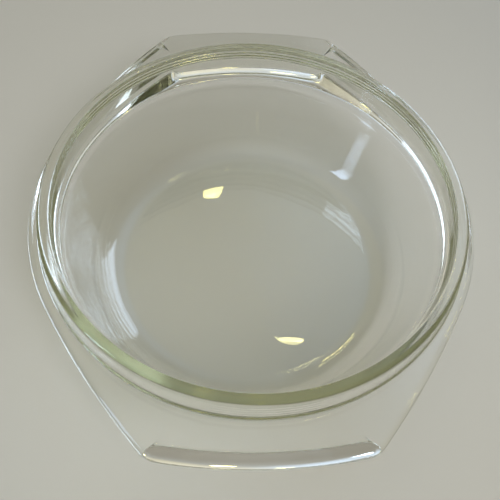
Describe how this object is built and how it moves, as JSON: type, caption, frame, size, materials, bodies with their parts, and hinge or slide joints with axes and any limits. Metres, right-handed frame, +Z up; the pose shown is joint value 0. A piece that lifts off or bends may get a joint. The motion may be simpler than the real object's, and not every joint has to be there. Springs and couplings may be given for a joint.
{
  "type": "pressed-glass dish with lug handles",
  "caption": "Round clear pressed-glass dish with a raised locating ring round its mouth, a ledge outside the ring and flat lug handles front and back.",
  "frame": {"origin": "centre of the flat base, on the bowl's axis, at the surface the dish stands on", "axes": "+Z up along the bowl's axis and out of its mouth, the two lug handles point along -Y (front) and +Y (back)"},
  "size_m": [0.2, 0.227, 0.0657],
  "materials": {
    "clear_glass": "clear pressed glass, faint olive tint that deepens in the thick rim and lugs"
  },
  "bodies": {
    "root": {"base_disc": "clear_glass", "base_knuckle": "clear_glass", "bowl_wall": "clear_glass", "rim_flange": "clear_glass", "locating_ring": "clear_glass", "front_lug": "clear_glass", "back_lug": "clear_glass"}
  },
  "joints": []
}
